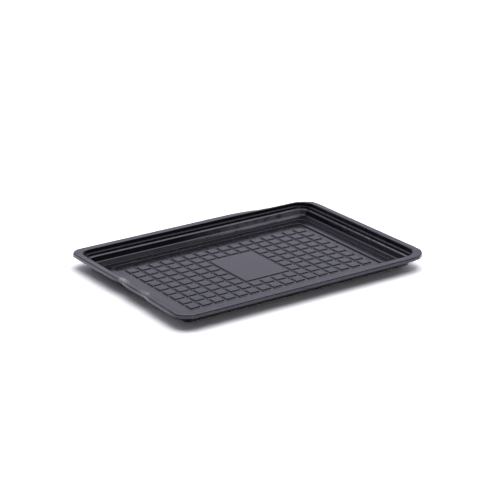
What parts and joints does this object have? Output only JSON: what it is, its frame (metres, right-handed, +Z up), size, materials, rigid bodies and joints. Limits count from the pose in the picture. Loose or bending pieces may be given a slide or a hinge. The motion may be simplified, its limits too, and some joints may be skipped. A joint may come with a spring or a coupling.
{
  "type": "shallow plastic food tray",
  "caption": "Shallow rectangular black plastic food tray with a grid of raised square pads, low steps, a ledged wall and a flat rim with a turned-down lip, its rim dented on one short side.",
  "frame": {"origin": "under the middle of the floor, at the height of the resting underside", "axes": "+X along the long side, +Y along the short side towards the rim that droops, +Z up out of the tray's mouth"},
  "size_m": [0.266, 0.189, 0.0155],
  "materials": {
    "black_plastic": "satin, faintly mottled, with stress-bright creases at the dents"
  },
  "bodies": {
    "root": {"tray": "black_plastic"}
  },
  "joints": []
}
